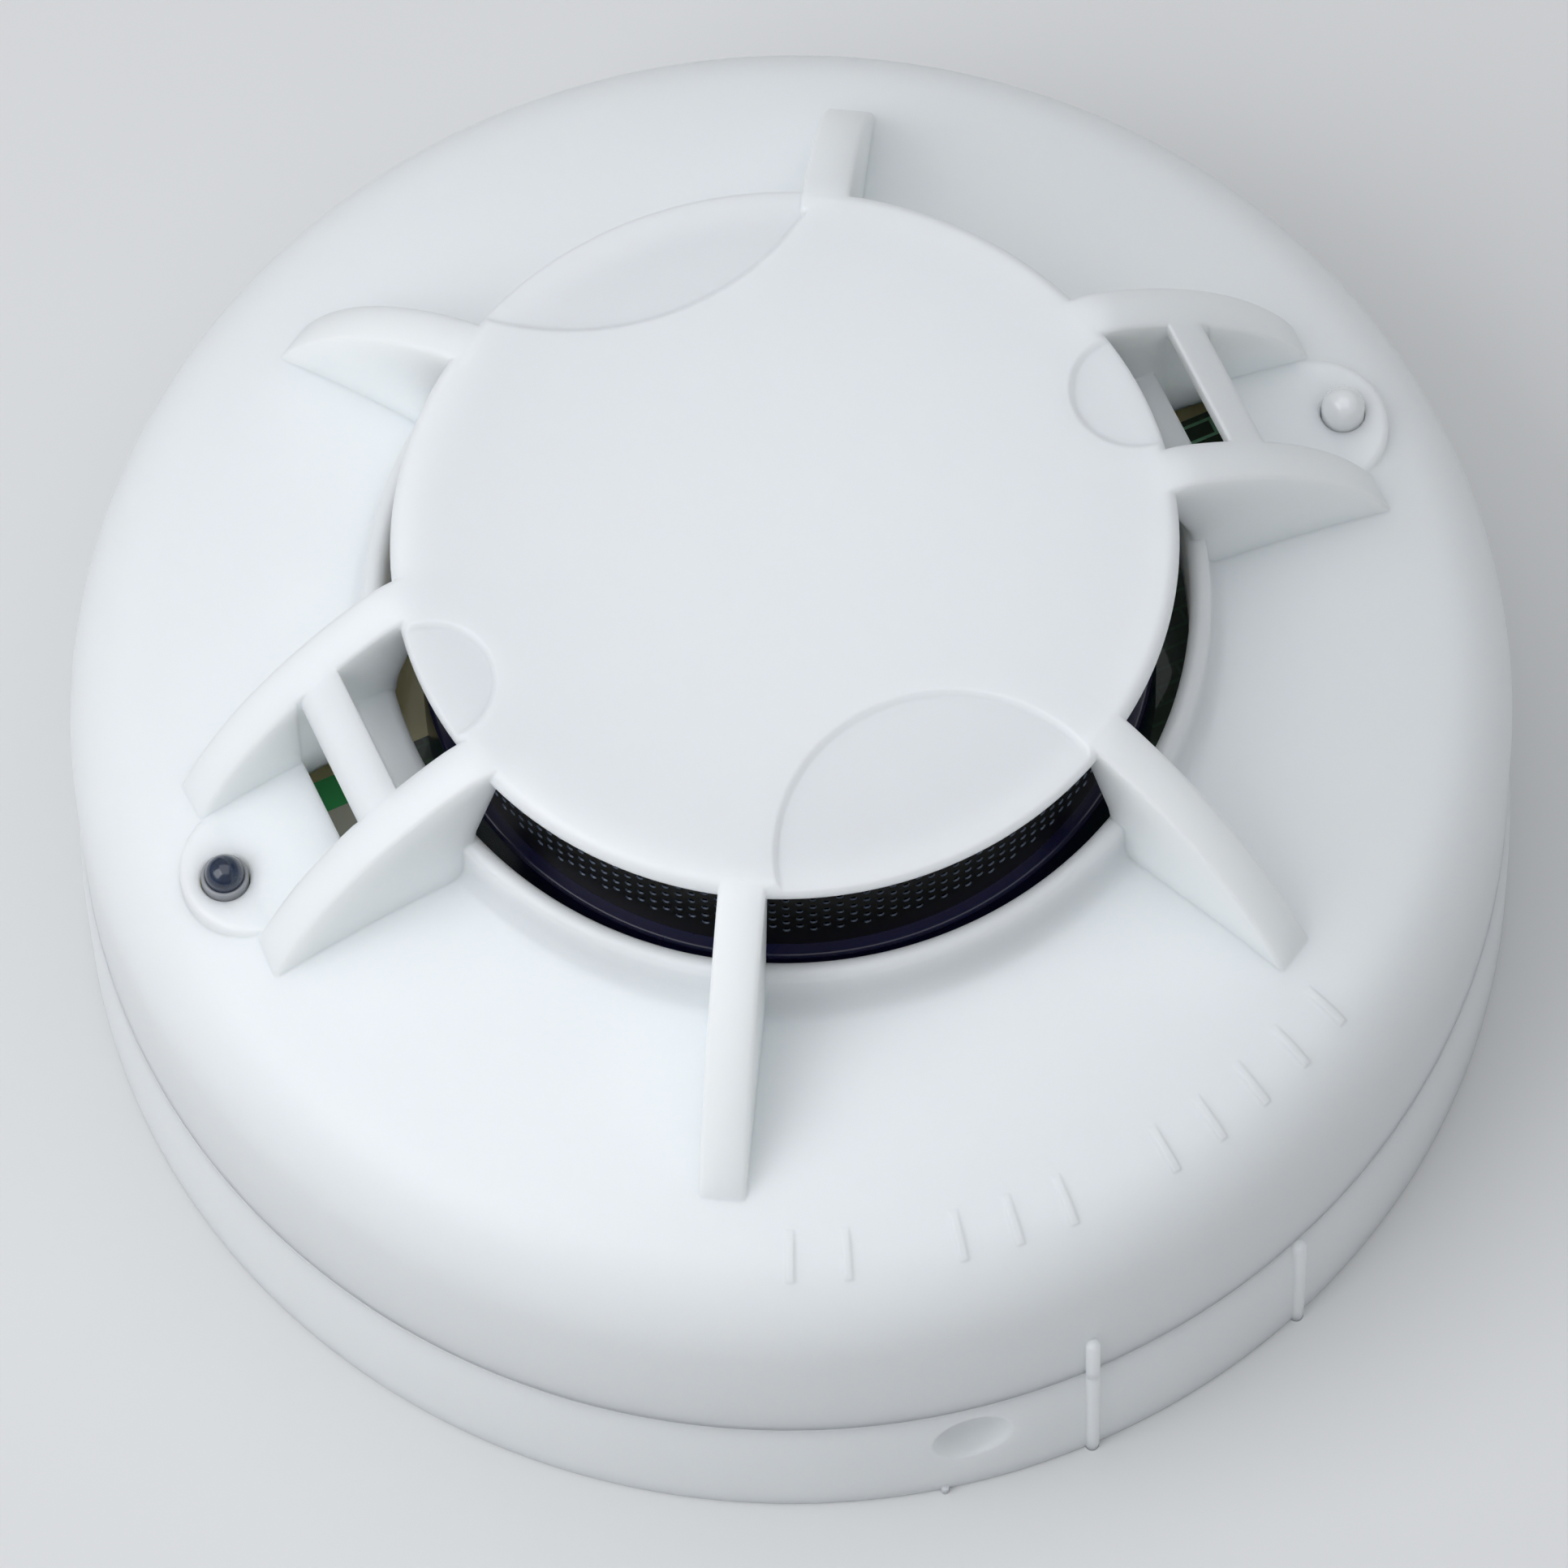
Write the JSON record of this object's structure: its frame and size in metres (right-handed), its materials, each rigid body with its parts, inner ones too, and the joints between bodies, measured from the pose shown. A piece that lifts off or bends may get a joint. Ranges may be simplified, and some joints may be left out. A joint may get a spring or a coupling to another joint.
{
  "type": "combined smoke and heat detector",
  "caption": "Round white ceiling detector: domed cap on radial arms over a smoke entry, two lamps, twist-lock head on a wired mounting base.",
  "frame": {"origin": "centre of the base's mounting face", "axes": "+Z along the detector's axis from the mounting face to the sensing cap; the first lamp arm stands 22.5 degrees from +X towards +Y"},
  "size_m": [0.1008, 0.1008, 0.0499],
  "materials": {
    "white_abs": "satin moulded ABS",
    "black_abs": "glossy moulded black ABS",
    "screen_mesh": "fine perforated black plastic",
    "clear_lens": "milky diffused epoxy lens",
    "smoked_lens": "dark tinted epoxy lens",
    "tinplate": "tinned sheet",
    "board_laminate": "green solder mask on glass-epoxy laminate",
    "package_epoxy": "moulded component epoxy",
    "can_aluminium": "drawn aluminium can",
    "glass_bead": "dipped bead",
    "plated_steel": "bright zinc plate",
    "plated_brass": "tin-flashed brass strip",
    "spring_bronze": "rolled spring bronze"
  },
  "bodies": {
    "base": {"mounting_base": "white_abs", "contact_spring_1": "spring_bronze", "contact_spring_2": "spring_bronze", "contact_spring_3": "spring_bronze", "contact_spring_4": "spring_bronze"},
    "head": {"detector_cover": "white_abs", "insect_screen": "screen_mesh", "chamber_lid": "black_abs", "chamber_base": "black_abs", "infrared_emitter": "clear_lens", "photodiode": "smoked_lens", "photodiode_shield": "tinplate", "circuit_board": "board_laminate", "controller_chip": "package_epoxy", "amplifier_chip": "package_epoxy", "surge_suppressor": "package_epoxy", "storage_capacitor": "can_aluminium", "filter_capacitor": "can_aluminium", "programming_header": "package_epoxy", "alarm_lamp": "clear_lens", "status_lamp": "smoked_lens", "thermistor": "glass_bead", "rear_housing": "white_abs", "housing_screw_1": "plated_steel", "housing_screw_2": "plated_steel", "housing_screw_3": "plated_steel", "contact_blade_1": "plated_brass", "contact_blade_2": "plated_brass", "contact_blade_3": "plated_brass", "contact_blade_4": "plated_brass", "contact_stud_1": "plated_brass", "contact_stud_2": "plated_brass", "contact_stud_3": "plated_brass", "contact_stud_4": "plated_brass"},
    "clamp_1": {"clamp_plate_1": "plated_steel"},
    "screw_1": {"terminal_screw_1": "plated_steel"},
    "clamp_2": {"clamp_plate_2": "plated_steel"},
    "screw_2": {"terminal_screw_2": "plated_steel"},
    "clamp_3": {"clamp_plate_3": "plated_steel"},
    "screw_3": {"terminal_screw_3": "plated_steel"},
    "clamp_4": {"clamp_plate_4": "plated_steel"},
    "screw_4": {"terminal_screw_4": "plated_steel"}
  },
  "joints": [
    {"name": "head_twist", "type": "hinge", "parent": "base", "child": "head", "pos_m": [0, 0, 0.0126], "axis": [0, 0, 1], "range_deg": [0, 19.8]},
    {"name": "clamp_1_lift", "type": "slide", "parent": "base", "child": "clamp_1", "axis": [0, 0, 1], "range_m": [0, 0.0015]},
    {"name": "screw_1_turn", "type": "hinge", "parent": "clamp_1", "child": "screw_1", "pos_m": [0.03524, 0.01283, 0.008], "axis": [0, 0, 1], "range_deg": [0, 1081]},
    {"name": "clamp_2_lift", "type": "slide", "parent": "base", "child": "clamp_2", "axis": [0, 0, 1], "range_m": [0, 0.0015]},
    {"name": "screw_2_turn", "type": "hinge", "parent": "clamp_2", "child": "screw_2", "pos_m": [-0.01283, 0.03524, 0.008], "axis": [0, 0, 1], "range_deg": [0, 1081]},
    {"name": "clamp_3_lift", "type": "slide", "parent": "base", "child": "clamp_3", "axis": [0, 0, 1], "range_m": [0, 0.0015]},
    {"name": "screw_3_turn", "type": "hinge", "parent": "clamp_3", "child": "screw_3", "pos_m": [-0.03524, -0.01283, 0.008], "axis": [0, 0, 1], "range_deg": [0, 1081]},
    {"name": "clamp_4_lift", "type": "slide", "parent": "base", "child": "clamp_4", "axis": [0, 0, 1], "range_m": [0, 0.0015]},
    {"name": "screw_4_turn", "type": "hinge", "parent": "clamp_4", "child": "screw_4", "pos_m": [0.01283, -0.03524, 0.008], "axis": [0, 0, 1], "range_deg": [0, 1081]}
  ],
  "couplings": [
    {"joint": "screw_1_turn", "follows": "clamp_1_lift", "rad_per_m": 12566},
    {"joint": "screw_2_turn", "follows": "clamp_2_lift", "rad_per_m": 12566},
    {"joint": "screw_3_turn", "follows": "clamp_3_lift", "rad_per_m": 12566},
    {"joint": "screw_4_turn", "follows": "clamp_4_lift", "rad_per_m": 12566}
  ]
}
